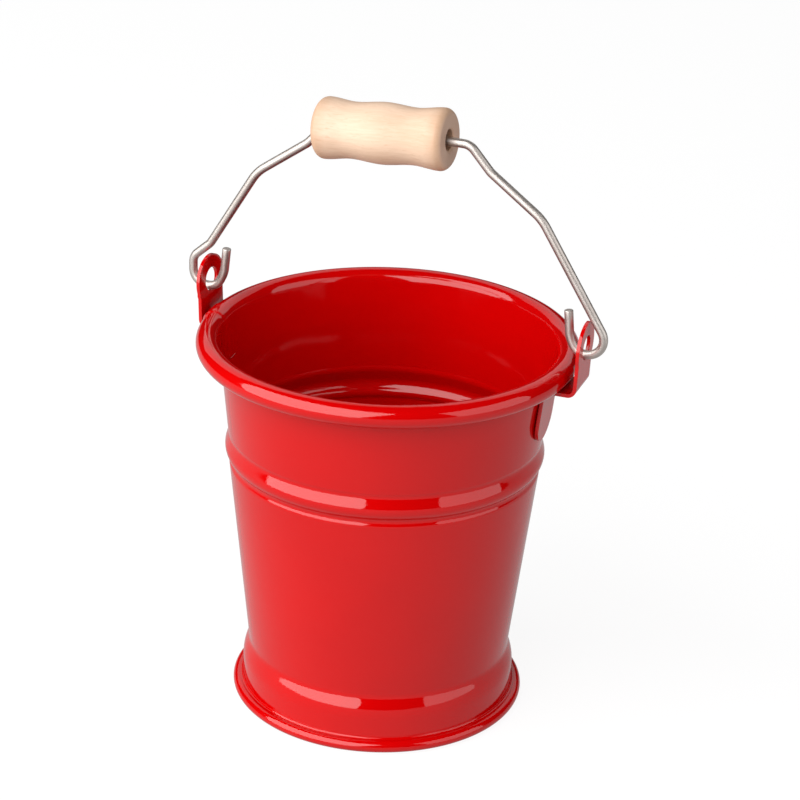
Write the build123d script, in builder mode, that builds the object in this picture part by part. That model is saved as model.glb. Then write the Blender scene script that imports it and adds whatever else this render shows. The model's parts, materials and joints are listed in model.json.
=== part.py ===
"""Small painted-steel sand bucket with a swinging wire bail and a loose wooden grip.

Origin: centre of the foot, on the surface the bucket stands on.
Axes: +Z up, +X from the left ear to the right ear, +Y from the front to the back.
"""

from build123d import *
from math import cos, radians, sin, tan
import os

# Driving dimensions, in millimetres and degrees.

# Body: one sheet rolled into a cone, curled outwards at both ends.
SHEET = 0.6              # painted sheet steel
RIM_RADIUS = 65.0        # outside of the rim curl
RIM_HEIGHT = 134.2       # top of the rim curl
RIM_CURL = 3.9           # outside radius of the rim curl
FOOT_RADIUS = 51.0       # outside of the foot curl
FOOT_CURL = 2.1          # outside radius of the foot curl
FOOT_LAND = 0.6          # flat width on which the foot rests
FLANK_RADIUS = 47.0      # inner face of the upright flank above the foot
WALL_TILT = 6.1          # lean of the wall from upright
NECK_TILT = 14.0         # lean of the short neck under the rim curl

# Corners of the wall from the neck down: height, distance out from the straight wall, bend.
NECK = (126.8, -0.6, 6.0)      # the neck ends and the upper wall begins
BEAD_TOP = (97.8, -0.6, 2.0)   # the bead starts as a shallow ramp
BEAD_CROWN = (92.25, 1.55, 3.7)
GROOVE = (89.2, -0.88, 2.3)
LOWER_WALL = (87.2, 0.15, 2.0)
SWELL_TOP = (19.2, -0.25, 1.5)
SWELL_BOTTOM = 13.9      # where the swell runs into the upright flank
SWELL_BEND = 2.2

# Side seam: the sheet's end laps over its beginning on the inside.
SEAM_ANGLE = 182.0       # the lap's free edge
SEAM_LAP = 7.0           # angle that the lap covers
SEAM_BOTTOM = 22.0
SEAM_TOP = 126.0

# Bottom: a pressed disc with a skirt, held below the swell.
BOTTOM_HEIGHT = 12.4     # top of the disc near the wall
BOTTOM_SKIRT = 6.0       # lower edge of the skirt
PANEL_RADIUS = 33.0      # raised middle panel
PANEL_RISE = 1.2
PANEL_FILLET = 1.5       # at the foot and the edge of the panel
SKIRT_BEND = 1.8
SEAT_GAP = 0.05          # paint between two seated sheets

# Ears: stamped lugs, stepped out under the rim curl and spot-welded on the wall.
EAR_SHEET = 1.2
EAR_SET_BACK = 2.5       # angle of both ears behind the diameter
EAR_RADIUS = 67.2        # inner face of the upright plate at the step
EAR_LEAN = 2.2           # outward lean of the upright plate
EAR_HOLE_HEIGHT = 140.6
EAR_HOLE = 4.2           # radius of the hole for the bail
EAR_HEAD = 8.8           # radius of the rounded head
EAR_NECK = 7.8           # half width below the head
EAR_BOTTOM = 105.0       # lower end of the tab on the wall
EAR_STEP_GAP = 0.2       # between the step and the rim curl
STEP_BEND = 2.0          # bend from the tab to the step
UPRIGHT_BEND = 2.0       # bend from the step to the upright plate

# Bail: one round wire with a hook at each end, in one plane.
WIRE = 1.5               # radius of the wire
WIRE_DROP = 2.5          # the wire rests this far below the ear hole's centre
WIRE_CHAMFER = 0.3

# Grip: turned wood, bored through, loose on the wire.
GRIP_LENGTH = 46.0
GRIP_CREST = 10.4        # radius at the two flared ends
GRIP_CREST_PLACE = 20.4  # crest's distance from the middle
GRIP_WAIST = 9.45
GRIP_WAIST_PLACE = 11.0
GRIP_MIDDLE = 10.3
GRIP_FACE = 8.6          # radius of the flat end face
GRIP_BORE = 3.6
GRIP_BORE_CHAMFER = 0.5
GRIP_SLIDE = -5.0        # how far it has slid along the wire
GRIP_RISE = 64.8         # its middle above the bail's axis
GRIP_TILT = 3.2          # it hangs a little lower at the left

RIM_CURL_END = -148.0    # direction from the curl's centre to its edge, at the wall
FOOT_CURL_END = 124.0    # the same at the foot
BEAD = (BEAD_TOP, BEAD_CROWN, GROOVE, LOWER_WALL)

# Places worked out from the driving dimensions.
rim_centre = (RIM_RADIUS - RIM_CURL, RIM_HEIGHT - RIM_CURL)
rim_tangent = (
    rim_centre[0] - RIM_CURL * cos(radians(WALL_TILT)),
    rim_centre[1] + RIM_CURL * sin(radians(WALL_TILT)),
)
foot_outer_centre = (FOOT_RADIUS - FOOT_CURL, FOOT_CURL)
foot_bend = foot_outer_centre[0] - FOOT_LAND - FLANK_RADIUS
foot_inner_centre = (FLANK_RADIUS + foot_bend, foot_bend)
pivot_y = EAR_RADIUS * sin(radians(EAR_SET_BACK))
pivot_z = EAR_HOLE_HEIGHT - WIRE_DROP


def radial_plane(angle):
    """Upright plane through the bucket's axis: local x points outwards, local y up."""
    outwards = (cos(radians(angle)), sin(radians(angle)), 0)
    return Plane(origin=(0, 0, 0), x_dir=outwards, z_dir=(outwards[1], -outwards[0], 0))


def facing_plane(angle):
    """Upright plane square to a radius: local x runs round the bucket, local y up."""
    outwards = (cos(radians(angle)), sin(radians(angle)), 0)
    return Plane(origin=(0, 0, 0), x_dir=(-outwards[1], outwards[0], 0), z_dir=outwards)


def wall_radius(height, depth=0.0):
    """Radius on the straight wall at a height; depth goes into the sheet from its inner face."""
    inside = rim_tangent[0] - (rim_tangent[1] - height) * tan(radians(WALL_TILT))
    return inside + depth / cos(radians(WALL_TILT))


def corner(place, depth):
    """A corner of the wall on one face of the sheet."""
    return (wall_radius(place[0], depth) + place[1], place[0])


def wall_end(height, depth):
    """A point on the upper or the lower wall at a height, on one face of the sheet."""
    if height > BEAD_TOP[0]:
        return corner((height, BEAD_TOP[1]), depth)
    part_way = (height - SWELL_TOP[0]) / (LOWER_WALL[0] - SWELL_TOP[0])
    offset = SWELL_TOP[1] + part_way * (LOWER_WALL[1] - SWELL_TOP[1])
    return corner((height, offset), depth)


def bend_corners(section, places):
    """Rounds both faces of a section at the given corners."""
    for height, _, bend in places:
        fillet(section.vertices().filter_by_position(Axis.Y, height - 0.01, height + 0.01), bend)


def sheet_line(depth):
    """One face of the whole sheet, from the rim curl's edge to the foot curl's edge."""
    rim_curl = RIM_CURL - depth
    foot_curl = FOOT_CURL - depth
    inner_bend = foot_bend - depth
    rim_arc = CenterArc(rim_centre, rim_curl, 180 - NECK_TILT, RIM_CURL_END - 180 + NECK_TILT)
    corners = [corner(place, depth) for place in (NECK, *BEAD, SWELL_TOP)]
    flank = FLANK_RADIUS + depth
    Polyline(rim_arc @ 0, *corners, (flank, SWELL_BOTTOM), (flank, foot_bend))
    CenterArc(foot_inner_centre, inner_bend, 180, 90)
    Line((foot_inner_centre[0], depth), (foot_outer_centre[0], depth))
    foot_arc = CenterArc(foot_outer_centre, foot_curl, -90, 90 + FOOT_CURL_END)
    return rim_arc @ 1, foot_arc @ 1


# Body
with BuildPart() as bucket_body:
    with BuildSketch(Plane.XZ) as section:
        with BuildLine():
            inner_ends = sheet_line(0)
            outer_ends = sheet_line(SHEET)
            Line(inner_ends[0], outer_ends[0])
            Line(inner_ends[1], outer_ends[1])
        make_face()
        bend_corners(section, (NECK, *BEAD, SWELL_TOP, (SWELL_BOTTOM, 0, SWELL_BEND)))
    revolve(axis=Axis.Z)
    with BuildSketch(radial_plane(SEAM_ANGLE)) as lap_section:
        with BuildLine():
            for depth in (0, -SHEET):
                corners = [corner(place, depth) for place in BEAD]
                Polyline(wall_end(SEAM_TOP, depth), *corners, wall_end(SEAM_BOTTOM, depth))
            Line(wall_end(SEAM_TOP, 0), wall_end(SEAM_TOP, -SHEET))
            Line(wall_end(SEAM_BOTTOM, 0), wall_end(SEAM_BOTTOM, -SHEET))
        make_face()
        bend_corners(lap_section, BEAD)
    revolve(axis=Axis.Z, revolution_arc=SEAM_LAP)
bucket_body.part.label = "bucket_body"
export_step(bucket_body.part, "parts/bucket_body.step")


# Bottom disc
def bottom_line(depth):
    """Upper face of the disc (depth 0) or its lower face, from the axis to the skirt's edge."""
    skirt = FLANK_RADIUS - SEAT_GAP - depth
    level = BOTTOM_HEIGHT - depth
    return FilletPolyline(
        (0, level + PANEL_RISE),
        (PANEL_RADIUS, level + PANEL_RISE),
        (PANEL_RADIUS + PANEL_RISE, level),
        (skirt, level),
        (skirt, BOTTOM_SKIRT),
        radius=[PANEL_FILLET, PANEL_FILLET, SKIRT_BEND - depth],
    )


with BuildPart() as bottom_disc:
    with BuildSketch(Plane.XZ):
        with BuildLine():
            upper = bottom_line(0)
            lower = bottom_line(SHEET)
            Line(upper @ 0, lower @ 0)
            Line(upper @ 1, lower @ 1)
        make_face()
    revolve(axis=Axis.Z)
bottom_disc.part.label = "bottom_disc"
export_step(bottom_disc.part, "parts/bottom_disc.step")


# Ears
def ear_line(depth):
    """The ear's face towards the bucket (depth 0) or its outer face, from the tab up."""
    tab_radius = wall_end(EAR_BOTTOM, SHEET)[0] + SEAT_GAP + depth / cos(radians(WALL_TILT))
    step_height = rim_centre[1] - RIM_CURL - EAR_STEP_GAP - depth
    step_radius = tab_radius + (step_height - EAR_BOTTOM) * tan(radians(WALL_TILT))
    upright_radius = EAR_RADIUS + depth / cos(radians(EAR_LEAN))
    top_height = EAR_HOLE_HEIGHT + EAR_HEAD + EAR_SHEET
    top_radius = upright_radius + (top_height - step_height) * tan(radians(EAR_LEAN))
    return FilletPolyline(
        (tab_radius, EAR_BOTTOM),
        (step_radius, step_height),
        (upright_radius, step_height),
        (top_radius, top_height),
        radius=[STEP_BEND - depth, UPRIGHT_BEND + depth],
    )


def make_ear(angle):
    """One ear: a bent strip, cut to its outline, with a round hole for the bail."""
    with BuildPart() as ear:
        with BuildSketch(radial_plane(angle)):
            with BuildLine():
                near = ear_line(0)
                far = ear_line(EAR_SHEET)
                Line(near @ 0, far @ 0)
                Line(near @ 1, far @ 1)
            make_face()
        extrude(amount=EAR_HEAD, both=True)
        with BuildSketch(facing_plane(angle)):
            with Locations((0, EAR_HOLE_HEIGHT)):
                Circle(EAR_HEAD)
            strip_bottom = EAR_BOTTOM + EAR_NECK
            with Locations((0, strip_bottom)):
                Circle(EAR_NECK)
                Rectangle(2 * EAR_NECK, EAR_HOLE_HEIGHT - strip_bottom, align=(Align.CENTER, Align.MIN))
            with Locations((0, EAR_HOLE_HEIGHT)):
                Circle(EAR_HOLE, mode=Mode.SUBTRACT)
        extrude(amount=2 * RIM_RADIUS, mode=Mode.INTERSECT)
    return ear.part


left_ear = make_ear(180 - EAR_SET_BACK)
left_ear.label = "left_ear"
export_step(left_ear, "parts/left_ear.step")

right_ear = make_ear(EAR_SET_BACK)
right_ear.label = "right_ear"
export_step(right_ear, "parts/right_ear.step")

# Bail: corners measured from the bail's axis, and the bend at each. The two hooks differ a little.
shoulder = [
    (25.0, 65.6, 5.0),   # beside the grip
    (32.5, 57.3, 8.0),
    (51.0, 44.1, 16.0),
]
right_hook = [
    (79.33, 0.0, 5.7),   # one round bend below the ear hole
]
left_hook = [
    (68.2, 15.6, 6.0),   # kicked outwards over the ear
    (74.7, 9.8, 4.5),
    (74.7, 0.0, 5.4),
]
free_end = [
    (65.6, 0.0, 5.0),
    (62.9, 5.5, 10.0),
    (62.0, 14.6, None),
]
right_half = shoulder + right_hook + free_end
left_half = shoulder + left_hook + free_end
right_side = [(x, height) for x, height, bend in right_half]
left_side = [(-x, height) for x, height, bend in left_half]
right_bends = [bend for x, height, bend in right_half if bend]
left_bends = [bend for x, height, bend in left_half if bend]

bail_plane = Plane(origin=(0, pivot_y, pivot_z), x_dir=(1, 0, 0), z_dir=(0, -1, 0))
with BuildPart() as bail_wire:
    with BuildLine(bail_plane) as route:
        FilletPolyline(*left_side[::-1], *right_side, radius=left_bends[::-1] + right_bends)
    with BuildSketch(Plane(origin=route.line @ 0, z_dir=route.line % 0)):
        Circle(WIRE)
    sweep()
    cut_ends = bail_wire.faces().filter_by(GeomType.PLANE)
    chamfer(cut_ends.edges(), WIRE_CHAMFER)
bail_wire.part.label = "bail_wire"
export_step(bail_wire.part, "parts/bail_wire.step")

# Grip
grip_plane = Plane(
    origin=(GRIP_SLIDE, pivot_y, pivot_z + GRIP_RISE),
    x_dir=(cos(radians(GRIP_TILT)), 0, sin(radians(GRIP_TILT))),
    z_dir=(0, -1, 0),
)
with BuildPart() as wooden_grip:
    with BuildSketch(grip_plane):
        with BuildLine():
            end = GRIP_LENGTH / 2
            right_crest = (GRIP_CREST_PLACE, GRIP_CREST)
            left_crest = (-GRIP_CREST_PLACE, GRIP_CREST)
            Spline(
                left_crest,
                (-GRIP_WAIST_PLACE, GRIP_WAIST),
                (0, GRIP_MIDDLE),
                (GRIP_WAIST_PLACE, GRIP_WAIST),
                right_crest,
                tangents=[(1, 0), (1, 0)],
            )
            TangentArc(right_crest, (end, GRIP_FACE), tangent=(1, 0))
            TangentArc(left_crest, (-end, GRIP_FACE), tangent=(-1, 0))
            bore_mouth = GRIP_BORE + GRIP_BORE_CHAMFER
            Polyline(
                (end, GRIP_FACE),
                (end, bore_mouth),
                (end - GRIP_BORE_CHAMFER, GRIP_BORE),
                (GRIP_BORE_CHAMFER - end, GRIP_BORE),
                (-end, bore_mouth),
                (-end, GRIP_FACE),
            )
        make_face()
    revolve(axis=Axis(grip_plane.origin, grip_plane.x_dir))
wooden_grip.part.label = "wooden_grip"
export_step(wooden_grip.part, "parts/wooden_grip.step")

print(f"bail axis at y {pivot_y:.3f}, z {pivot_z:.3f}")
print(f"grip middle at x {GRIP_SLIDE}, z {pivot_z + GRIP_RISE:.3f}")
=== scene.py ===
"""Looks of the small sand bucket: red enamelled steel, drawn wire and turned wood.

Each piece is worked out with numpy around the packed model and rides on its body.
"""

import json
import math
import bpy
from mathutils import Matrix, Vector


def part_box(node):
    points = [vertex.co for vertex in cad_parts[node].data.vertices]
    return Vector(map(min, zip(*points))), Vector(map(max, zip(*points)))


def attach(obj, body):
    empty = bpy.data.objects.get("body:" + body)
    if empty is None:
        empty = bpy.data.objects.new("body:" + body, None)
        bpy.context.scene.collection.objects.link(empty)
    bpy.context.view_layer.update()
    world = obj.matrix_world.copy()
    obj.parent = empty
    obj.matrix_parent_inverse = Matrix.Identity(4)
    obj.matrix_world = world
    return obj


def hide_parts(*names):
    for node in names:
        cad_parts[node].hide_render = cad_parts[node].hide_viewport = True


bl_info = {
    "name": "Sand bucket",
    "version": (1, 0, 0),
    "blender": (4, 5, 0),
    "location": "View3D > Sidebar > Sand bucket",
    "description": "Builds the enamelled bucket, its bail and its wooden grip, with a plain studio",
    "category": "Object",
}

import bmesh
import bpy
import numpy as np
from bpy.props import FloatProperty, FloatVectorProperty, IntProperty, PointerProperty
from mathutils import Matrix, Vector

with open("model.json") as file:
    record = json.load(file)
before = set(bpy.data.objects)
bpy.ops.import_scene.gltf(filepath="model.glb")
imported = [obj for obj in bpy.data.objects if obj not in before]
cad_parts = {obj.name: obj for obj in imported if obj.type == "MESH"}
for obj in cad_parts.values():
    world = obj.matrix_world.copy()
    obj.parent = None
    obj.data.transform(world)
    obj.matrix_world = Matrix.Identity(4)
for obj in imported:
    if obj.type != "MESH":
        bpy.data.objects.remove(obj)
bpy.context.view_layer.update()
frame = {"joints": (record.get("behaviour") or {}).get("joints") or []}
joints = {joint["name"]: joint for joint in frame["joints"]}

MM = 0.001
body_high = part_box("bucket_body")[1]
disc_low, disc_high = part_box("bottom_disc")
ear_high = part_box("right_ear")[1]
bail_axis = Vector(joints["bail_swing"]["pos_m"])
grip_middle = Vector(joints["grip_spin"]["pos_m"])
grip_axis = Vector(joints["grip_spin"]["axis"]).normalized()


def length(name, default, description):
    """A length property in metres, given here in millimetres."""
    return FloatProperty(
        name=name, default=default * MM, description=description, unit="LENGTH", precision=5
    )


def angle(name, default, description):
    """An angle property, given here in degrees."""
    return FloatProperty(
        name=name, default=math.radians(default), description=description, subtype="ANGLE"
    )


def colour(name, default, description):
    """A linear colour property."""
    return FloatVectorProperty(
        name=name, default=default, description=description, subtype="COLOR", size=3, min=0, max=1
    )


def share(name, default, description):
    """A plain number from 0 to 1."""
    return FloatProperty(name=name, default=default, description=description, min=0, max=1)


# Sizes and colours that a user would change


class BodySizes(bpy.types.PropertyGroup):
    """The rolled sheet and the bottom disc."""

    sheet: length("Sheet", 0.6, "Thickness of the painted sheet")
    rim_curl: length("Rim curl", 3.9, "Outside radius of the curl at the rim")
    rim_curl_end: angle("Rim curl end", -148.0, "Direction from the curl's centre to its edge")
    foot_curl: length("Foot curl", 2.1, "Outside radius of the curl at the foot")
    foot_fillet: length("Foot fillet", 0.8, "Radius of the paint between the flank and the foot curl")
    flank: length("Flank", 47.6, "Outside radius of the upright flank above the foot")
    foot_land: length("Foot land", 0.6, "Flat width that the foot rests on")
    foot_radius: length("Foot radius", 51.0, "Outside radius of the foot curl")
    wall_tilt: angle("Wall tilt", 6.1, "Lean of the wall from upright")
    neck_tilt: angle("Neck tilt", 9.0, "Lean of the wall just under the rim curl")
    neck: length("Neck", 120.0, "Where that lean has eased into the upper wall")
    upper_inset: length("Upper inset", 0.6, "How far the upper wall is set in")
    bead_top: length("Bead top", 98.0, "Crease where the bead's ramp starts")
    bead_top_depth: length("Bead top depth", 0.28, "How far that crease is pressed in")
    bead_crown: length("Bead crown", 92.25, "Corner of the bead before it is rounded")
    bead_proud: length("Bead depth", 1.55, "How far that corner stands out of the wall")
    groove: length("Groove", 89.2, "Corner of the groove below the bead")
    groove_depth: length("Groove depth", 0.88, "Depth of that corner")
    lower_wall: length("Lower wall", 87.2, "Where the groove ends and the lower wall begins")
    lower_proud: length("Lower wall out", 0.15, "How far the lower wall stands out at its top")
    swell_top: length("Swell top", 19.2, "Crease above the foot swell")
    swell_inset: length("Swell inset", 0.25, "How far the lower wall is set in at that crease")
    swell_bottom: length("Swell bottom", 13.9, "Where the swell turns upright")
    swell_bend: length("Swell bend", 14.0, "Radius of the bend from the swell to the flank")
    flank_end: length("Flank end", 5.4, "Where the flank's outer face meets the foot curl")
    seam_angle: angle("Seam", 182.0, "Free edge of the inner layer of the side seam")
    seam_lap: angle("Seam lap", 7.0, "Angle that the side seam covers")
    seam_foot: length("Seam foot", 118.0, "Lower edge of the inner layer of the side seam")
    seam_round: length("Seam corner", 2.5, "Rounded corner of the inner layer")
    seam_step: length("Seam step", 0.42, "How far the inner layer stands off the wall")
    seam_gap: length("Seam gap", 0.26, "Width of the dark gap along the seam")
    panel_radius: length("Panel", 33.0, "Radius of the bottom's raised panel")
    panel_rise: length("Panel rise", 1.2, "Height of the bottom's raised panel")
    panel_bend: length("Panel bend", 1.5, "Radius of the bottom's bends, at mid sheet")


class EarSizes(bpy.types.PropertyGroup):
    """The stamped ears."""

    sheet: length("Sheet", 1.2, "Thickness of the ears")
    set_back: angle("Set back", 2.5, "Angle of both ears behind the diameter")
    radius: length("Upright face", 67.2, "Inner face of the upright plate, from the bucket's axis")
    lean: angle("Lean", 2.2, "Outward lean of the upright plate")
    hole_height: length("Hole height", 140.6, "Middle of the hole above the floor")
    hole: length("Hole", 4.2, "Radius of the hole")
    head: length("Head", 8.8, "Radius of the rounded head")
    neck: length("Neck", 7.8, "Half width below the head")
    bottom: length("Tab end", 105.0, "Lower end of the tab above the floor")
    step_gap: length("Step gap", 0.2, "Gap between the step and the rim curl")
    step_bend: length("Step bend", 1.4, "Radius of the bend from the tab to the step, at mid sheet")
    upright_bend: length("Upright bend", 2.6, "Radius of the bend up from the step, at mid sheet")
    edge_round: length("Edge", 0.4, "Rounding of the painted edges")
    head_start: length("Head start", 129.4, "Height where the flat head joins the bent strip")
    nib: length("Nib", 0.5, "Height of the nib on the left ear's near edge")
    nib_place: length("Nib place", 136.6, "Height of the nib above the floor")
    nib_width: length("Nib width", 0.45, "Half width of the nib")


class BailSizes(bpy.types.PropertyGroup):
    """The bail wire."""

    wire: length("Wire", 1.5, "Radius of the wire")
    cut_round: length("Cut end", 0.35, "Rounding of the sheared ends")
    sides: IntProperty(name="Sides", default=40, min=8, description="Faces round the wire")


class GripSizes(bpy.types.PropertyGroup):
    """The turned grip."""

    length: length("Length", 46.0, "Length of the grip")
    crest: length("Crest", 10.4, "Radius at the flared ends")
    crest_place: length("Crest place", 20.4, "Distance of the crests from the middle")
    waist: length("Waist", 9.45, "Radius at the waists")
    waist_place: length("Waist place", 11.0, "Distance of the waists from the middle")
    middle: length("Middle", 10.3, "Radius at the middle swell")
    face: length("Face", 8.6, "Radius of the flat end faces")
    bore: length("Bore", 3.6, "Radius of the bore")
    bore_chamfer: length("Bore chamfer", 0.5, "Chamfer at the bore's mouths")


class Finishes(bpy.types.PropertyGroup):
    """Colours of the three materials."""

    enamel: colour("Enamel", (0.52, 0.0004, 0.0006), "Red of the enamel")
    enamel_deep: colour("Enamel, thick", (0.49, 0.0002, 0.0005), "Red where the enamel lies thick")
    enamel_gloss: share("Enamel roughness", 0.06, "Roughness of the enamel")
    steel: colour("Steel", (0.64, 0.59, 0.55), "Drawn wire")
    steel_dark: colour("Steel, dark", (0.52, 0.47, 0.44), "Drawing marks on the wire")
    wood: colour("Wood", (0.72, 0.52, 0.38), "Early wood")
    wood_dark: colour("Wood, dark", (0.50, 0.29, 0.17), "Late wood and flecks")
    wood_end: colour("Wood, end", (0.52, 0.34, 0.25), "End grain")


class Studio(bpy.types.PropertyGroup):
    """Camera, floor and lights."""

    azimuth: angle("Azimuth", 21.4, "Camera's turn from the front towards the right ear")
    elevation: angle("Elevation", 23.67, "Camera above the horizon")
    roll: angle("Roll", 2.12, "Turn of the camera about its line of sight")
    distance: FloatProperty(
        name="Distance", default=0.9286, unit="LENGTH", description="Camera to the point it looks at"
    )
    aim_height: length("Aim height", 109.5, "Height of the point that the camera looks at")
    aim_side: length("Aim side", 4.6, "That point's distance to the right of the bucket's axis")
    lens: FloatProperty(name="Lens", default=122.6, unit="CAMERA", description="Focal length in mm")
    floor_glow: share("Floor glow", 0.42, "Light that the floor gives off by itself")
    floor_seen: share("Floor brightness", 0.9, "How bright the camera sees the floor")
    room_glow: share("Room glow", 0.012, "Light of the dim room round the object")


SETTINGS = {
    "bucket_body_sizes": BodySizes,
    "bucket_ear_sizes": EarSizes,
    "bucket_bail_sizes": BailSizes,
    "bucket_grip_sizes": GripSizes,
    "bucket_finishes": Finishes,
    "bucket_studio": Studio,
}

# Shapes as arrays


def arc(centre, radius, start, end, count):
    """Points on a circle in the plane, from one direction to another (radians)."""
    turn = np.linspace(start, end, count)
    return np.stack([centre[0] + radius * np.cos(turn), centre[1] + radius * np.sin(turn)], -1)


def straight(start, end, count):
    """Evenly spaced points on a straight line, both ends included."""
    share_of_way = np.linspace(0, 1, count)[:, None]
    return np.asarray(start) + share_of_way * (np.asarray(end) - np.asarray(start))


def rounded(points, bends, step, turn_step=math.radians(6)):
    """A polyline with each inner corner replaced by a tangent arc of the given radius.

    The arc starts radius * tan(turn / 2) before the corner, and its centre lies on the corner's
    bisector at radius / cos(turn / 2).
    """
    points = [np.asarray(point, float) for point in points]
    runs = []
    start = points[0]
    for before, corner, after, bend in zip(points, points[1:], points[2:], bends):
        arriving = (corner - before) / np.linalg.norm(corner - before)
        leaving = (after - corner) / np.linalg.norm(after - corner)
        turn = math.acos(np.clip(arriving @ leaving, -1, 1))
        reach = bend * math.tan(turn / 2)
        middle = (leaving - arriving) / np.linalg.norm(leaving - arriving)
        centre = corner + middle * bend / math.cos(turn / 2)
        entry = corner - arriving * reach
        count = max(2, math.ceil(np.linalg.norm(entry - start) / step) + 1)
        runs.append(straight(start, entry, count)[:-1])
        swing = np.linspace(0, turn, max(3, math.ceil(turn / turn_step) + 1))[:-1, None]
        runs.append(centre + (entry - centre) * np.cos(swing) + arriving * bend * np.sin(swing))
        start = corner + leaving * reach
    count = max(2, math.ceil(np.linalg.norm(points[-1] - start) / step) + 1)
    runs.append(straight(start, points[-1], count))
    return np.concatenate(runs)


def normals_left(line):
    """Unit normals of a plane line, to the left of its direction."""
    along = np.gradient(line, axis=0)
    along /= np.linalg.norm(along, axis=1)[:, None]
    return np.stack([-along[:, 1], along[:, 0]], -1)


def grid_faces(rows, columns, close_rows=False, close_columns=False, first=0):
    """Quads of a grid of points numbered row by row from first, wrapped round where asked."""
    row = np.arange(rows if close_rows else rows - 1)[:, None]
    column = np.arange(columns if close_columns else columns - 1)[None, :]
    next_row = (row + 1) % rows
    next_column = (column + 1) % columns
    corners = [
        row * columns + column,
        next_row * columns + column,
        next_row * columns + next_column,
        row * columns + next_column,
    ]
    return first + np.stack(np.broadcast_arrays(*corners), -1).reshape(-1, 4)


def fill_mesh(name, vertices, faces, sharp=math.radians(32), along=None):
    """A smooth-shaded mesh object from arrays, with its doubles merged and its normals turned
    outwards. along is a point attribute for patterns that follow the piece."""
    mesh = bpy.data.meshes.new(name)
    mesh.from_pydata(np.asarray(vertices).reshape(-1, 3).tolist(), [], faces.tolist())
    if along is not None:
        attribute = mesh.attributes.new("along_wire", "FLOAT_VECTOR", "POINT")
        attribute.data.foreach_set("vector", along.ravel())
    tidy = bmesh.new()
    tidy.from_mesh(mesh)
    bmesh.ops.remove_doubles(tidy, verts=tidy.verts, dist=1e-6)
    bmesh.ops.recalc_face_normals(tidy, faces=tidy.faces)
    tidy.to_mesh(mesh)
    tidy.free()
    mesh.polygons.foreach_set("use_smooth", np.ones(len(mesh.polygons), bool))
    mesh.set_sharp_from_angle(angle=sharp)
    mesh.update()
    piece = bpy.data.objects.new(name, mesh)
    bpy.context.scene.collection.objects.link(piece)
    return piece


def spun(profile, angles):
    """A profile of radius and height turned about +Z: rows follow angles, columns the profile."""
    radius = profile[None, :, 0]
    turn = angles[:, None]
    height = np.broadcast_to(profile[None, :, 1], (len(angles), len(profile)))
    return np.stack([radius * np.cos(turn), radius * np.sin(turn), height], -1)


def finish_piece(piece, body, node, material):
    """Gives a finished piece its finish, sets it on the body that it rides on, and hides the node that it
    replaces.
    """
    piece.data.materials.clear()
    piece.data.materials.append(material)
    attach(piece, body)
    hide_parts(node)


# Shader groups, built once and placed in each material with its own values


def new_group(name, inputs, outputs):
    """An empty shader group with named float, vector or colour sockets."""
    kinds = {"float": "NodeSocketFloat", "vector": "NodeSocketVector", "colour": "NodeSocketColor"}
    group = bpy.data.node_groups.new(name, "ShaderNodeTree")
    for label, kind, default in inputs:
        socket = group.interface.new_socket(label, in_out="INPUT", socket_type=kinds[kind])
        socket.default_value = default
    for label, kind in outputs:
        group.interface.new_socket(label, in_out="OUTPUT", socket_type=kinds[kind])
    entry = group.nodes.new("NodeGroupInput")
    leave = group.nodes.new("NodeGroupOutput")
    return group, entry.outputs, leave.inputs


def add_node(tree, kind, values=None, **settings):
    """A shader node with settings, and default values for its inputs by name or number."""
    node = tree.nodes.new(kind)
    for key, value in settings.items():
        setattr(node, key, value)
    for key, value in (values or {}).items():
        node.inputs[key].default_value = value
    return node


def link(tree, *pairs):
    """Joins pairs of sockets."""
    for source, target in pairs:
        tree.links.new(source, target)


def stretched_noise_group():
    """Noise squeezed along each axis by Stretch: fine grain, drawing marks or paint waviness."""
    white = (1.0, 1.0, 1.0)
    group, given, result = new_group(
        "stretched_noise",
        [
            ("Vector", "vector", (0, 0, 0)),
            ("Stretch", "vector", white),
            ("Scale", "float", 100.0),
            ("Detail", "float", 3.0),
            ("Low", "float", 0.35),
            ("High", "float", 0.65),
        ],
        [("Value", "float")],
    )
    multiply = add_node(group, "ShaderNodeVectorMath", operation="MULTIPLY")
    noise = add_node(group, "ShaderNodeTexNoise")
    spread = add_node(group, "ShaderNodeMapRange")
    link(
        group,
        (given["Vector"], multiply.inputs[0]),
        (given["Stretch"], multiply.inputs[1]),
        (multiply.outputs[0], noise.inputs["Vector"]),
        (given["Scale"], noise.inputs["Scale"]),
        (given["Detail"], noise.inputs["Detail"]),
        (noise.outputs["Fac"], spread.inputs["Value"]),
        (given["Low"], spread.inputs["From Min"]),
        (given["High"], spread.inputs["From Max"]),
        (spread.outputs["Result"], result["Value"]),
    )
    return group


def two_tone_group():
    """Mixes two colours by a mask."""
    group, given, result = new_group(
        "two_tone",
        [
            ("Mask", "float", 0.5),
            ("Light", "colour", (1, 1, 1, 1)),
            ("Dark", "colour", (0, 0, 0, 1)),
        ],
        [("Color", "colour")],
    )
    mix = add_node(group, "ShaderNodeMix", data_type="RGBA")
    link(
        group,
        (given["Mask"], mix.inputs["Factor"]),
        (given["Light"], mix.inputs["A"]),
        (given["Dark"], mix.inputs["B"]),
        (mix.outputs["Result"], result["Color"]),
    )
    return group


def get_group(name, maker):
    """The shader group of that name, made on first use."""
    return bpy.data.node_groups.get(name) or maker()


def new_material(name):
    """A material with a Principled shader and object coordinates."""
    material = bpy.data.materials.new(name)
    material.use_nodes = True
    tree = material.node_tree
    shader = tree.nodes["Principled BSDF"]
    place = add_node(tree, "ShaderNodeTexCoord").outputs["Object"]
    return material, tree, shader, place


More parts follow.
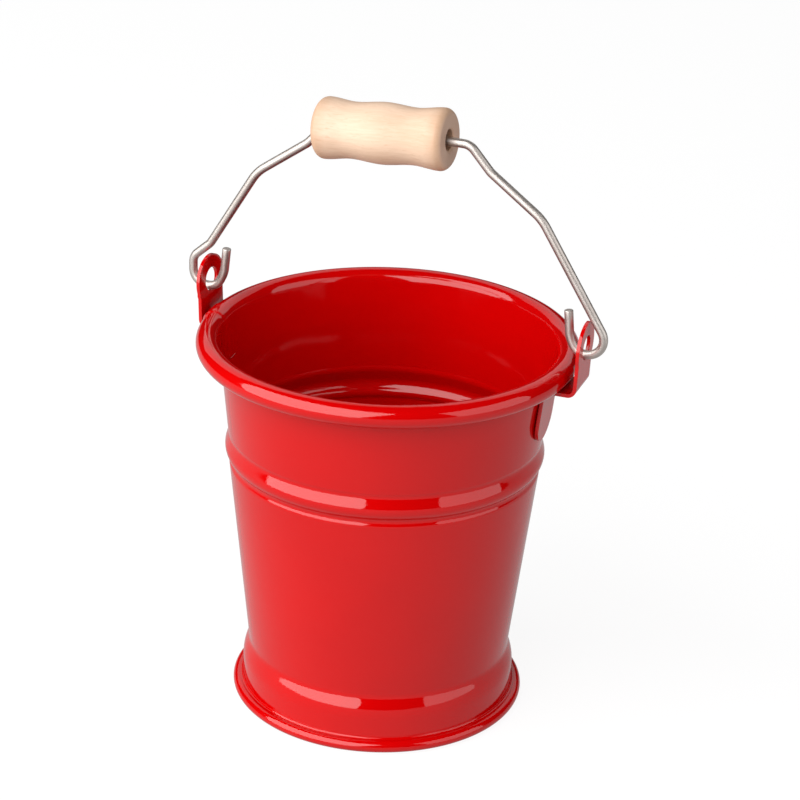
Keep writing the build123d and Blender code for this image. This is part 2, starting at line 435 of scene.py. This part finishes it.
def place_noise(tree, vector, stretch, scale, detail, low=0.35, high=0.65):
    """Places the stretched noise group and returns its value."""
    noise = add_node(tree, "ShaderNodeGroup", node_tree=get_group("stretched_noise", stretched_noise_group))
    noise.inputs["Stretch"].default_value = stretch
    noise.inputs["Scale"].default_value = scale
    noise.inputs["Detail"].default_value = detail
    noise.inputs["Low"].default_value = low
    noise.inputs["High"].default_value = high
    link(tree, (vector, noise.inputs["Vector"]))
    return noise.outputs["Value"]


def place_two_tone(tree, mask, light, dark):
    """Places the two tone group and returns its colour; light and dark are sockets or colours."""
    tone = add_node(tree, "ShaderNodeGroup", node_tree=get_group("two_tone", two_tone_group))
    link(tree, (mask, tone.inputs["Mask"]))
    for label, value in (("Light", light), ("Dark", dark)):
        if isinstance(value, bpy.types.NodeSocket):
            link(tree, (value, tone.inputs[label]))
        else:
            tone.inputs[label].default_value = (*value, 1)
    return tone.outputs["Color"]


def place_bump(tree, height, strength, distance, shader, before=None):
    """A bump on the shader's normal; before is the normal of a coarser bump."""
    bump = add_node(tree, "ShaderNodeBump", {"Strength": strength, "Distance": distance})
    link(tree, (height, bump.inputs["Height"]), (bump.outputs["Normal"], shader.inputs["Normal"]))
    if before is not None:
        link(tree, (before, bump.inputs["Normal"]))
    return bump.outputs["Normal"]


def map_range(tree, value, low, high, to_low, to_high):
    """Places a clamped map range and returns its result."""
    values = {"From Min": low, "From Max": high, "To Min": to_low, "To Max": to_high}
    node = add_node(tree, "ShaderNodeMapRange", values)
    link(tree, (value, node.inputs["Value"]))
    return node.outputs["Result"]


def scaled(tree, value, factor):
    """A value times a fixed factor."""
    node = add_node(tree, "ShaderNodeMath", {1: factor}, operation="MULTIPLY")
    link(tree, (value, node.inputs[0]))
    return node.outputs[0]


def enamel_material(finishes):
    """Baked red enamel: deep colour, hard gloss, and the faint waviness of sprayed paint."""
    material, tree, shader, place = new_material("baked_red_enamel")
    even = (1, 1, 1)
    cloud = place_noise(tree, place, even, 22, 2)
    colour_out = place_two_tone(tree, cloud, finishes.enamel, finishes.enamel_deep)
    haze = place_noise(tree, place, even, 140, 3)
    gloss = map_range(tree, haze, 0, 1, finishes.enamel_gloss - 0.02, finishes.enamel_gloss + 0.02)
    link(tree, (colour_out, shader.inputs["Base Color"]), (gloss, shader.inputs["Roughness"]))
    wave = place_noise(tree, place, even, 60, 1, 0.2, 0.8)
    peel = place_noise(tree, place, even, 900, 2, 0.2, 0.8)
    coarse = place_bump(tree, wave, 0.12, 0.0006, shader)
    place_bump(tree, peel, 0.05, 0.00006, shader, coarse)
    shader.inputs["IOR"].default_value = 1.5
    return material


def steel_material(finishes):
    """Drawn steel wire: satin grey with fine marks that run along the wire."""
    material, tree, shader, place = new_material("drawn_steel")
    along = add_node(tree, "ShaderNodeAttribute", attribute_name="along_wire").outputs["Vector"]
    marks = place_noise(tree, along, (0.06, 1, 1), 2600, 3, 0.3, 0.7)
    stains = place_noise(tree, place, (1, 1, 1), 120, 3, 0.35, 0.75)
    base = place_two_tone(tree, marks, finishes.steel, finishes.steel_dark)
    tinted = place_two_tone(tree, stains, base, (0.42, 0.34, 0.30))
    softened = add_node(tree, "ShaderNodeMix", {"Factor": 0.35}, data_type="RGBA")
    link(
        tree,
        (base, softened.inputs["A"]),
        (tinted, softened.inputs["B"]),
        (softened.outputs["Result"], shader.inputs["Base Color"]),
        (map_range(tree, marks, 0, 1, 0.40, 0.5), shader.inputs["Roughness"]),
    )
    shader.inputs["Metallic"].default_value = 1.0
    place_bump(tree, marks, 0.05, 0.00004, shader)
    return material


def wood_material(finishes, sizes):
    """Pale turned wood: grain and short flecks along the grip, and darker end grain."""
    material, tree, shader, place = new_material("turned_pale_wood")
    tilt = math.atan2(grip_axis.z, grip_axis.x)
    values = {"Location": grip_middle, "Rotation": (0, -tilt, 0)}
    centred = add_node(tree, "ShaderNodeMapping", values, vector_type="TEXTURE")
    link(tree, (place, centred.inputs["Vector"]))
    local = centred.outputs["Vector"]
    figure = place_noise(tree, local, (1, 5, 5), 26, 4, 0.35, 0.7)
    fibres = place_noise(tree, local, (1, 14, 14), 130, 3, 0.35, 0.7)
    flecks = place_noise(tree, local, (1, 4.5, 4.5), 330, 1, 0.60, 0.72)
    axes = add_node(tree, "ShaderNodeSeparateXYZ")
    size_along = add_node(tree, "ShaderNodeMath", operation="ABSOLUTE")
    link(tree, (local, axes.inputs[0]), (axes.outputs["X"], size_along.inputs[0]))
    crest = sizes.crest_place
    shoulder = map_range(tree, size_along.outputs[0], crest - 0.003, crest + 0.001, 0, 1)
    end = map_range(tree, size_along.outputs[0], sizes.length / 2 - 0.0006, sizes.length / 2, 0, 1)
    plain = place_two_tone(tree, figure, finishes.wood, finishes.wood_dark)
    quiet = add_node(tree, "ShaderNodeMix", {"Factor": 0.45, "B": (*finishes.wood, 1)}, data_type="RGBA")
    link(tree, (plain, quiet.inputs["A"]))
    flecked = place_two_tone(tree, scaled(tree, flecks, 0.28), quiet.outputs["Result"], finishes.wood_dark)
    fibred = place_two_tone(tree, scaled(tree, fibres, 0.22), flecked, finishes.wood_dark)
    warm = place_two_tone(tree, scaled(tree, shoulder, 0.55), fibred, finishes.wood_dark)
    base = place_two_tone(tree, scaled(tree, end, 0.8), warm, finishes.wood_end)
    link(
        tree,
        (base, shader.inputs["Base Color"]),
        (map_range(tree, fibres, 0, 1, 0.45, 0.6), shader.inputs["Roughness"]),
    )
    place_bump(tree, fibres, 0.25, 0.00005, shader)
    return material


# Profiles and pieces


def wall_radius(sizes, height, offset):
    """Radius of the middle of the sheet at a height, at a distance out from the straight wall."""
    curl = sizes.rim_curl - sizes.sheet / 2
    top_radius = body_high.x - sizes.rim_curl - curl * math.cos(sizes.wall_tilt)
    top_height = body_high.z - sizes.rim_curl + curl * math.sin(sizes.wall_tilt)
    return top_radius - (top_height - height) * math.tan(sizes.wall_tilt) + offset


def wall_line(sizes, top):
    """The wall from the rim curl to the flank: straight runs, with each corner bent to a radius.

    Each place is a height, a distance out from the straight wall and a bend in millimetres.
    """
    lead = 1.4 * MM
    places = [
        (sizes.neck, -sizes.upper_inset, 60.0),
        (sizes.bead_top + lead, -sizes.upper_inset, 1.6),
        (sizes.bead_top, -sizes.upper_inset - sizes.bead_top_depth, 3.0),
        (sizes.bead_crown, sizes.bead_proud, 4.0),
        (sizes.groove, -sizes.groove_depth, 2.3),
        (sizes.lower_wall, sizes.lower_proud, 2.0),
        (sizes.swell_top, -sizes.swell_inset, 5.0),
    ]
    corners = [(wall_radius(sizes, height, offset), height) for height, offset, _ in places]
    flank = sizes.flank - sizes.sheet / 2
    bends = [bend * MM for *_, bend in places] + [sizes.swell_bend]
    ends = [(flank, sizes.swell_bottom), (flank, sizes.flank_end)]
    return rounded([top, *corners, *ends], bends, 1.2 * MM, math.radians(4))


def runs(*pieces):
    """Evenly spaced values through the given (start, end, count) pieces, ends not repeated."""
    values = [np.linspace(start, end, count, endpoint=False) for start, end, count in pieces]
    return np.concatenate([*values, [pieces[-1][1]]])


def body_section(sizes):
    """Middle of the sheet from the rim curl's edge to the top of the foot ring, and the distance
    above the floor along the sheet, which keeps growing round the rim curl."""
    curl = sizes.rim_curl - sizes.sheet / 2
    centre = (body_high.x - sizes.rim_curl, body_high.z - sizes.rim_curl)
    rim_turn = np.linspace(sizes.rim_curl_end, math.pi - sizes.neck_tilt, 34)
    rim = arc(centre, curl, rim_turn[0], rim_turn[-1], len(rim_turn))
    wall = wall_line(sizes, rim[-1])
    # closer rows round the lower end of the seam, where the wall is straight
    above = wall[wall[:, 1] >= sizes.seam_foot + 4 * MM]
    below = wall[wall[:, 1] <= sizes.seam_foot - 1.5 * MM]
    close = straight(above[-1], below[0], 28)[1:-1]
    line = np.concatenate([rim[:-1], above, close, below])
    climb = line[:, 1].copy()
    climb[: len(rim)] = rim[-1, 1] + curl * (rim_turn[-1] - rim_turn)
    return line, climb


def foot_ring(sizes):
    """Outline of the foot from the flank's inner face, under and round to its outer face.

    A quarter bend, a flat land, most of a circle, and a fillet that touches both the circle and
    the flank; its centre is at the sum of the two radii from the circle's centre.
    """
    inner = sizes.flank - sizes.sheet
    centre = np.array([sizes.foot_radius - sizes.foot_curl, sizes.foot_curl])
    bend = centre[0] - sizes.foot_land - inner
    under = arc((inner + bend, bend), bend, math.pi, 1.5 * math.pi, 8)
    reach = sizes.foot_curl + sizes.foot_fillet
    aside = sizes.flank + sizes.foot_fillet - centre[0]
    fillet_centre = centre + (aside, math.sqrt(reach**2 - aside**2))
    meeting = math.atan2(*(fillet_centre - centre)[::-1])
    ring = arc(centre, sizes.foot_curl, -0.5 * math.pi, meeting, 26)
    fillet = arc(fillet_centre, sizes.foot_fillet, meeting + math.pi, math.pi, 9)
    return np.concatenate([under, ring, fillet[1:]])


def seam_lift(sizes, turn, across, climb):
    """Height of the inner layer of the side seam over the wall, and of the gap along its edge.

    The layer is a quarter plane with a rounded corner. The distance outside it is
    |max(r - q, 0)| + min(max(r - q), 0) - r, where q is measured from its corner.
    """
    corner = np.stack([sizes.seam_round - across, sizes.seam_round - (climb - sizes.seam_foot)], -1)
    outside = np.linalg.norm(np.maximum(corner, 0), axis=-1) - sizes.seam_round
    outside = outside + np.minimum(corner.max(-1), 0)
    gap, step, groove = sizes.seam_gap, sizes.seam_step, -0.3 * MM
    places = np.array([-0.6, -0.25, 0, 0.3, 0.8, 1.3]) * gap
    lift = np.interp(outside, places, [step, 0.94 * step, 0.6 * step, groove, groove, 0])
    fade = np.clip((sizes.seam_angle + sizes.seam_lap - turn) / SEAM_FADE + 1, 0, 1)
    return lift * fade * fade * (3 - 2 * fade)


# angle over which the seam's inner layer fades into the wall
SEAM_FADE = math.radians(1.5)

# the section runs down the wall, so its left normal points outwards
INWARDS = -1


def build_shell(sizes):
    """The rolled sheet: its section turned about the axis, closed into one shell, with the inner
    layer of the side seam lifted off the wall and carried over the rim curl."""
    line, climb = body_section(sizes)
    normal = normals_left(line)
    seam, lap = math.degrees(sizes.seam_angle), math.degrees(sizes.seam_lap)
    turn = np.radians(
        runs(
            (seam - 360 + lap + 1.5, seam - 1.2, 156),
            (seam - 1.2, seam - 0.5, 3),
            (seam - 0.5, seam + 0.3, 16),
            (seam + 0.3, seam + 3.5, 20),
            (seam + 3.5, seam + lap + 1.5, 10),
        )[:-1]
    )[:, None]
    across = (turn - sizes.seam_angle) * line[None, :, 0]
    lift = seam_lift(sizes, turn, across, np.broadcast_to(climb, across.shape))
    half = sizes.sheet / 2
    # the face inside the bucket and round the outside of the rim curl, then the foot, then the
    # outer face of the wall
    shown = line[None] + normal[None] * (half + lift[..., None]) * INWARDS
    hidden = np.broadcast_to(line[None] - normal[None] * half * INWARDS, shown.shape)
    foot = foot_ring(sizes)
    foot = np.broadcast_to(foot[None], (len(turn), *foot.shape))
    loop = np.concatenate([shown, foot, hidden[:, ::-1]], axis=1)
    radius, height = loop[..., 0], loop[..., 1]
    vertices = np.stack([radius * np.cos(turn), radius * np.sin(turn), height], -1)
    faces = grid_faces(*radius.shape, close_rows=True, close_columns=True)
    return fill_mesh("bucket_shell", vertices, faces)


def build_bottom(sizes):
    """The dished bottom: its section turned about the axis, with a skirt inside the foot."""
    half = sizes.sheet / 2
    skirt = disc_high.x - half
    level = disc_high.z - sizes.panel_rise - half
    corners = [
        (0, level + sizes.panel_rise),
        (sizes.panel_radius, level + sizes.panel_rise),
        (sizes.panel_radius + sizes.panel_rise, level),
        (skirt, level),
        (skirt, disc_low.z),
    ]
    line = rounded(corners, [sizes.panel_bend] * 3, 6 * MM)
    normal = normals_left(line)
    normal[0] = (0, 1)
    normal[-1] = (1, 0)
    loop = np.concatenate([line + normal * half, (line - normal * half)[::-1]])
    vertices = spun(loop, np.linspace(0, 2 * math.pi, 160, endpoint=False))
    faces = grid_faces(*vertices.shape[:2], close_rows=True, close_columns=False)
    return fill_mesh("bottom_disc_painted", vertices, faces)


def ear_midline(sizes, body):
    """Middle of the ear's sheet from the tab's lower end to the top, as radius and height."""
    half = sizes.sheet / 2
    slope, lean = math.tan(body.wall_tilt), math.tan(sizes.lean)
    face = wall_radius(body, sizes.bottom, body.sheet / 2 / math.cos(body.wall_tilt) - body.upper_inset)
    tab = face + 0.05 * MM + half / math.cos(body.wall_tilt)
    step = body_high.z - 2 * body.rim_curl - sizes.step_gap - half
    upright = sizes.radius + half / math.cos(sizes.lean)
    corners = [
        (tab, sizes.bottom),
        (tab + (step - sizes.bottom) * slope, step),
        (upright, step),
        (upright + (ear_high.z - step) * lean, ear_high.z),
    ]
    return rounded(corners, [sizes.step_bend, sizes.upright_bend], 0.9 * MM)


def ear_strip(sizes, line, join):
    """Tab, step and upright as a grid: rows follow the middle line, columns go across.

    The half width is the neck's, and below the tab's centre that of a circle with its radius.
    """
    heights = line[:, 1]
    centre = sizes.bottom + sizes.neck
    turn = np.linspace(0, math.pi / 2, 12, endpoint=False)
    round_heights = centre - sizes.neck * np.cos(turn)
    slope = (line[1, 0] - line[0, 0]) / (line[1, 1] - line[0, 1])
    round_rows = np.stack([line[0, 0] + (round_heights - heights[0]) * slope, round_heights], -1)
    plain = line[(heights > centre + 0.3 * MM) & (heights < join - 0.2 * MM)]
    upright_slope = (line[-1, 0] - line[-2, 0]) / (line[-1, 1] - line[-2, 1])
    last = (line[-1, 0] + (join - line[-1, 1]) * upright_slope, join)
    rows = np.concatenate([round_rows, plain, [last]])
    below = np.clip(centre - rows[:, 1], 0, sizes.neck)
    half_width = np.sqrt(np.maximum(sizes.neck**2 - below**2, 0))
    columns = np.linspace(-1, 1, STRIP_COLUMNS + 1)
    across = half_width[:, None] * columns[None, :]
    radius, height = (np.broadcast_to(rows[:, None, k], across.shape) for k in (0, 1))
    return np.stack([radius, across, height], -1)


STRIP_COLUMNS = 18


def ear_head(sizes, line, join, nib):
    """Head round its hole as a ring of rays from the hole's edge to the outline.

    The outline is the strip's straight sides, then the head's circle. A nib is a small bump on
    one side, exp(-(distance / width)^2) high.
    """
    hole = sizes.hole_height
    shoulder = math.asin(sizes.neck / sizes.head)
    shoulder_height = hole - sizes.head * math.cos(shoulder)
    bottom = straight((-sizes.neck, join), (sizes.neck, join), STRIP_COLUMNS + 1)
    side = straight((sizes.neck, join), (sizes.neck, shoulder_height), 8)[1:-1]
    top = arc((0, hole), sizes.head, shoulder - math.pi / 2, 1.5 * math.pi - shoulder, 44)
    other = side[::-1] * (-1, 1)
    outline = np.concatenate([bottom, side, top, other])
    distance = (outline[:, 1] - sizes.nib_place) / sizes.nib_width
    outline[:, 0] += nib * np.exp(-(distance**2)) * (outline[:, 0] > 0)
    away = outline - (0, hole)
    edge = away / np.linalg.norm(away, axis=1)[:, None] * sizes.hole + (0, hole)
    share_out = np.array([0, 0.16, 0.33, 0.5, 0.67, 0.84, 1])[:, None, None]
    ring = edge[None] + share_out * (outline - edge)[None]
    slope = (line[-1, 0] - line[-2, 0]) / (line[-1, 1] - line[-2, 1])
    radius = line[-1, 0] + (ring[..., 1] - line[-1, 1]) * slope
    return np.stack([radius, ring[..., 0], ring[..., 1]], -1)


def build_ear(name, sizes, body, place, nib):
    """One ear: strip and head joined in the flat, set at its angle, then given its thickness."""
    line = ear_midline(sizes, body)
    strip = ear_strip(sizes, line, sizes.head_start)
    head = ear_head(sizes, line, sizes.head_start, nib)
    strip_count = strip.shape[0] * strip.shape[1]
    points = np.concatenate([strip.reshape(-1, 3), head.reshape(-1, 3)])
    faces = np.concatenate(
        [
            grid_faces(*strip.shape[:2]),
            grid_faces(*head.shape[:2], close_columns=True, first=strip_count),
        ]
    )
    radius, across, height = points.T
    x = radius * math.cos(place) - across * math.sin(place)
    y = radius * math.sin(place) + across * math.cos(place)
    ear = fill_mesh(name, np.stack([x, y, height], -1), faces, math.radians(60))
    solid = ear.modifiers.new("sheet", "SOLIDIFY")
    solid.thickness = sizes.sheet
    solid.offset = 0
    solid.use_even_offset = True
    edges = ear.modifiers.new("painted_edges", "BEVEL")
    edges.width = sizes.edge_round
    edges.segments = 3
    edges.limit_method = "ANGLE"
    edges.angle_limit = math.radians(60)
    return ear


# distance from the middle, height above the axis, bend radius at mid wire
SHOULDER = ((25.0, 65.6, 5.0), (32.5, 57.3, 8.0), (51.0, 44.1, 16.0))
RIGHT_HOOK = ((79.33, 0.0, 5.7),)
LEFT_HOOK = ((68.2, 15.6, 6.0), (74.7, 9.8, 4.5), (74.7, 0.0, 5.4))
FREE_END = ((65.6, 0.0, 5.0), (62.9, 5.5, 10.0), (62.0, 14.6, 0.0))


def build_bail(sizes):
    """The wire: a circle carried along the bail's bent line, with rounded cut ends.

    Ring point = middle + r * (cos(v) * side + sin(v) * across), where side is the line's normal in
    the bail's plane and across is +Y. Each end closes to a point on its middle.
    """
    right = np.array((*SHOULDER, *RIGHT_HOOK, *FREE_END)) * MM
    left = (np.array((*SHOULDER, *LEFT_HOOK, *FREE_END)) * MM)[::-1] * (-1, 1, 1)
    corners = np.concatenate([left, right])
    line = rounded(corners[:, :2], corners[1:-1, 2], 2.5 * MM, math.radians(5))
    along = np.gradient(line, axis=0)
    along /= np.linalg.norm(along, axis=1)[:, None]
    normal = np.stack([-along[:, 1], along[:, 0]], -1)
    distance = np.concatenate([[0], np.cumsum(np.linalg.norm(np.diff(line, axis=0), axis=1))])
    turn = np.linspace(0, math.pi / 2, 5)
    soft = sizes.cut_round
    cap_radius = np.concatenate([[0], sizes.wire - soft * (1 - np.sin(turn))])
    cap_back = np.concatenate([[0], soft * (1 - np.cos(turn))])
    start_rows = line[0] + cap_back[:, None] * along[0]
    end_rows = (line[-1] - cap_back[:, None] * along[-1])[::-1]
    inner = (distance > 2 * soft) & (distance < distance[-1] - 2 * soft)
    middle = np.concatenate([start_rows, line[inner], end_rows])
    radius = np.concatenate([cap_radius, np.full(inner.sum(), sizes.wire), cap_radius[::-1]])
    count = len(cap_radius)
    side = np.concatenate([np.repeat(normal[:1], count, 0), normal[inner], np.repeat(normal[-1:], count, 0)])
    way = np.concatenate([cap_back, distance[inner], distance[-1] - cap_back[::-1]])
    turn = np.linspace(0, 2 * math.pi, sizes.sides, endpoint=False)
    out = radius[:, None] * np.cos(turn)
    over = radius[:, None] * np.sin(turn)
    x = middle[:, None, 0] + out * side[:, None, 0]
    z = middle[:, None, 1] + out * side[:, None, 1] + bail_axis.z
    vertices = np.stack([x, bail_axis.y + over, z], -1)
    faces = grid_faces(*x.shape, close_columns=True)
    # the place along and round the wire, for its drawing marks
    place = np.stack(np.broadcast_arrays(way[:, None], out, over), -1)
    return fill_mesh("bail_drawn_wire", vertices, faces, along=place)


def grip_section(sizes):
    """Closed section of the grip: distance along its axis and radius.

    Between crests, waists and middle the radius eases as 3t^2 - 2t^3; each crest runs into the
    flat end face by an arc that starts level.
    """
    places = np.array([-sizes.crest_place, -sizes.waist_place, 0, sizes.waist_place, sizes.crest_place])
    radii = np.array([sizes.crest, sizes.waist, sizes.middle, sizes.waist, sizes.crest])
    along = np.linspace(places[0], places[-1], 72)
    gap = np.clip(np.searchsorted(places, along, side="right") - 1, 0, len(places) - 2)
    t = (along - places[gap]) / (places[gap + 1] - places[gap])
    radius = radii[gap] + (radii[gap + 1] - radii[gap]) * t * t * (3 - 2 * t)
    body = np.stack([along, radius], -1)
    end = sizes.length / 2
    reach, drop = end - sizes.crest_place, sizes.crest - sizes.face
    circle = (reach**2 + drop**2) / (2 * drop)
    low = math.asin((circle - drop) / circle)
    shoulder = arc((sizes.crest_place, sizes.crest - circle), circle, math.pi / 2, low, 12)[1:]
    mouth = sizes.bore + sizes.bore_chamfer
    soft = 0.25 * MM
    face = [(end, sizes.face - 0.8 * MM), (end, mouth + 1.5 * MM), (end, mouth + soft)]
    inside = [(end - soft / 2, mouth), (end - sizes.bore_chamfer, sizes.bore), (end / 2, sizes.bore)]
    right = np.concatenate([shoulder, face, inside])
    left = right[::-1] * (-1, 1)
    return np.concatenate([body, right, [(0, sizes.bore)], left])


def build_grip(sizes):
    """The turned grip: its section turned about the wire's line through it."""
    section = grip_section(sizes)
    turn = np.linspace(0, 2 * math.pi, 120, endpoint=False)[:, None]
    along = np.array(grip_axis)
    across = np.array((0.0, 1.0, 0.0))
    up = np.cross(along, across)
    radius = section[None, :, 1, None]
    vertices = (
        np.array(grip_middle)
        + section[None, :, 0, None] * along
        + radius * (np.cos(turn)[..., None] * across + np.sin(turn)[..., None] * up)
    )
    faces = grid_faces(*vertices.shape[:2], close_rows=True, close_columns=True)
    return fill_mesh("grip_turned_wood", vertices, faces, math.radians(50))


# Studio


# name, degrees round from the camera, degrees above the floor, distance, size (m), radiance
LIGHTS = (
    ("light_left", -50, 30, 1.5, (2.5, 2.1), 4.1),
    ("light_right", 63.5, 20, 1.5, (1.4, 1.4), 1.7),
    ("light_back", 180, 40, 1.9, (3.0, 1.2), 0.8),
)


def aim_light(name, azimuth, elevation, distance, size, radiance):
    """A rectangular light that faces the object; azimuth is measured from the object's front.

    Its power is pi times its area times the radiance that a reflection of it shows.
    """
    data = bpy.data.lights.new(name, "AREA")
    data.shape = "RECTANGLE"
    data.size, data.size_y = size
    data.energy = math.pi * size[0] * size[1] * radiance
    lamp = bpy.data.objects.new(name, data)
    direction = Vector(
        (
            math.sin(azimuth) * math.cos(elevation),
            -math.cos(azimuth) * math.cos(elevation),
            math.sin(elevation),
        )
    )
    centre = Vector((0, 0, 0.08))
    lamp.location = centre + direction * distance
    lamp.rotation_euler = direction.to_track_quat("Z", "Y").to_euler()
    lamp.visible_camera = False
    bpy.context.scene.collection.objects.link(lamp)
    return lamp


def build_camera(studio):
    """A camera on a sphere round the point it looks at, turned a little about its line of sight."""
    azimuth, elevation, roll = studio.azimuth, studio.elevation, studio.roll
    back = Vector(
        (
            math.sin(azimuth) * math.cos(elevation),
            -math.cos(azimuth) * math.cos(elevation),
            math.sin(elevation),
        )
    )
    right = Vector((math.cos(azimuth), math.sin(azimuth), 0))
    up = back.cross(right)
    turned_right = right * math.cos(roll) + up * math.sin(roll)
    turned_up = up * math.cos(roll) - right * math.sin(roll)
    data = bpy.data.cameras.new("studio_camera")
    data.lens = studio.lens
    data.sensor_width = 36
    data.clip_start, data.clip_end = 0.05, 50
    camera = bpy.data.objects.new("studio_camera", data)
    turn = Matrix((turned_right, turned_up, back)).transposed().to_4x4()
    place = right * studio.aim_side + Vector((0, 0, studio.aim_height)) + back * studio.distance
    camera.matrix_world = Matrix.Translation(place) @ turn
    bpy.context.scene.collection.objects.link(camera)
    bpy.context.scene.camera = camera


def build_floor(studio):
    """A round pale floor that gives off part of its light, so that shadows on it stay faint."""
    turn = np.linspace(0, 2 * math.pi, 96, endpoint=False)
    radius = np.array([0, 0.3, 1.0, 3.0])[:, None]
    x, y = radius * np.cos(turn), radius * np.sin(turn)
    vertices = np.stack([x, y, np.full_like(x, -0.0002)], -1)
    floor = fill_mesh("floor", vertices, grid_faces(*x.shape, close_columns=True)[:, ::-1])
    floor.data.materials.append(floor_material(studio))


def floor_material(studio):
    """Pale board that glows a little; the camera sees it bright, with faint shadows."""
    material = bpy.data.materials.new("floor_pale")
    material.use_nodes = True
    tree = material.node_tree
    tree.nodes.clear()
    board = add_node(tree, "ShaderNodeBsdfDiffuse", {"Color": (0.12, 0.12, 0.12, 1)})
    glow = add_node(tree, "ShaderNodeEmission", {"Strength": studio.floor_glow})
    seen = add_node(tree, "ShaderNodeEmission", {"Strength": studio.floor_seen})
    path = add_node(tree, "ShaderNodeLightPath")
    mix = add_node(tree, "ShaderNodeMixShader")
    both = add_node(tree, "ShaderNodeAddShader")
    out = add_node(tree, "ShaderNodeOutputMaterial")
    link(
        tree,
        (path.outputs["Is Camera Ray"], mix.inputs[0]),
        (glow.outputs[0], mix.inputs[1]),
        (seen.outputs[0], mix.inputs[2]),
        (mix.outputs[0], both.inputs[0]),
        (board.outputs[0], both.inputs[1]),
        (both.outputs[0], out.inputs["Surface"]),
    )
    return material


def build_world(studio):
    """A dim room round the object, seen white by the camera past the floor's edge."""
    world = bpy.data.worlds.new("studio_room")
    world.use_nodes = True
    tree = world.node_tree
    tree.nodes.clear()
    room = add_node(tree, "ShaderNodeBackground", {"Color": (1, 1, 1, 1), "Strength": studio.room_glow})
    seen = add_node(tree, "ShaderNodeBackground", {"Color": (1, 1, 1, 1), "Strength": 1.0})
    path = add_node(tree, "ShaderNodeLightPath")
    mix = add_node(tree, "ShaderNodeMixShader")
    out = add_node(tree, "ShaderNodeOutputWorld")
    link(
        tree,
        (path.outputs["Is Camera Ray"], mix.inputs[0]),
        (room.outputs[0], mix.inputs[1]),
        (seen.outputs[0], mix.inputs[2]),
        (mix.outputs[0], out.inputs["Surface"]),
    )
    bpy.context.scene.world = world


# Operators


class BUCKET_OT_body(bpy.types.Operator):
    """Build the rolled sheet and the bottom disc in red enamel"""

    bl_idname = "sand_bucket.body"
    bl_label = "Body and bottom"

    def execute(self, context):
        scene = context.scene
        enamel = shared_material("baked_red_enamel", enamel_material, scene.bucket_finishes)
        finish_piece(build_shell(scene.bucket_body_sizes), "bucket", "bucket_body", enamel)
        finish_piece(build_bottom(scene.bucket_body_sizes), "bucket", "bottom_disc", enamel)
        return {"FINISHED"}


class BUCKET_OT_ears(bpy.types.Operator):
    """Build the two stamped ears in red enamel"""

    bl_idname = "sand_bucket.ears"
    bl_label = "Ears"

    def execute(self, context):
        scene = context.scene
        sizes, body = scene.bucket_ear_sizes, scene.bucket_body_sizes
        enamel = shared_material("baked_red_enamel", enamel_material, scene.bucket_finishes)
        right = build_ear("ear_right_enamel", sizes, body, sizes.set_back, 0)
        finish_piece(right, "bucket", "right_ear", enamel)
        left = build_ear("ear_left_enamel", sizes, body, math.pi - sizes.set_back, sizes.nib)
        finish_piece(left, "bucket", "left_ear", enamel)
        return {"FINISHED"}


class BUCKET_OT_bail(bpy.types.Operator):
    """Build the bail from drawn wire"""

    bl_idname = "sand_bucket.bail"
    bl_label = "Bail"

    def execute(self, context):
        scene = context.scene
        steel = shared_material("drawn_steel", steel_material, scene.bucket_finishes)
        finish_piece(build_bail(scene.bucket_bail_sizes), "bail", "bail_wire", steel)
        return {"FINISHED"}


class BUCKET_OT_grip(bpy.types.Operator):
    """Build the turned wooden grip"""

    bl_idname = "sand_bucket.grip"
    bl_label = "Grip"

    def execute(self, context):
        scene = context.scene
        sizes = scene.bucket_grip_sizes
        wood = shared_material("turned_pale_wood", wood_material, scene.bucket_finishes, sizes)
        finish_piece(build_grip(sizes), "grip", "wooden_grip", wood)
        return {"FINISHED"}


class BUCKET_OT_studio(bpy.types.Operator):
    """Set up the camera, the pale floor and the soft lights"""

    bl_idname = "sand_bucket.studio"
    bl_label = "Studio"

    def execute(self, context):
        studio = context.scene.bucket_studio
        build_camera(studio)
        build_floor(studio)
        build_world(studio)
        for name, aside, elevation, distance, size, radiance in LIGHTS:
            turn = studio.azimuth + math.radians(aside)
            aim_light(name, turn, math.radians(elevation), distance, size, radiance)
        context.scene.view_settings.view_transform = "Standard"
        return {"FINISHED"}


class BUCKET_PT_panel(bpy.types.Panel):
    """Lists the steps and the sizes"""

    bl_label = "Sand bucket"
    bl_idname = "BUCKET_PT_panel"
    bl_space_type = "VIEW_3D"
    bl_region_type = "UI"
    bl_category = "Sand bucket"

    def draw(self, context):
        for operator in OPERATORS:
            self.layout.operator(operator.bl_idname)
        for name, group in SETTINGS.items():
            box = self.layout.box()
            box.label(text=group.__doc__)
            for key in group.__annotations__:
                box.prop(getattr(context.scene, name), key)


OPERATORS = (BUCKET_OT_studio, BUCKET_OT_body, BUCKET_OT_ears, BUCKET_OT_bail, BUCKET_OT_grip)


def shared_material(name, maker, *values):
    """The material of that name, made on first use."""
    material = bpy.data.materials.get(name)
    if material is None:
        material = maker(*values)
        material.name = name
    return material


def register():
    """Registers the settings, the operators and the panel."""
    for name, group in SETTINGS.items():
        bpy.utils.register_class(group)
        setattr(bpy.types.Scene, name, PointerProperty(type=group))
    for kind in (*OPERATORS, BUCKET_PT_panel):
        bpy.utils.register_class(kind)


def unregister():
    """Takes the panel, the operators and the settings away again."""
    for kind in reversed((*OPERATORS, BUCKET_PT_panel)):
        bpy.utils.unregister_class(kind)
    for name, group in SETTINGS.items():
        delattr(bpy.types.Scene, name)
        bpy.utils.unregister_class(group)


def main():
    """Builds everything in order."""
    register()
    bpy.ops.sand_bucket.studio()
    bpy.ops.sand_bucket.body()
    bpy.ops.sand_bucket.ears()
    bpy.ops.sand_bucket.bail()
    bpy.ops.sand_bucket.grip()


if __name__ == "__main__":
    main()
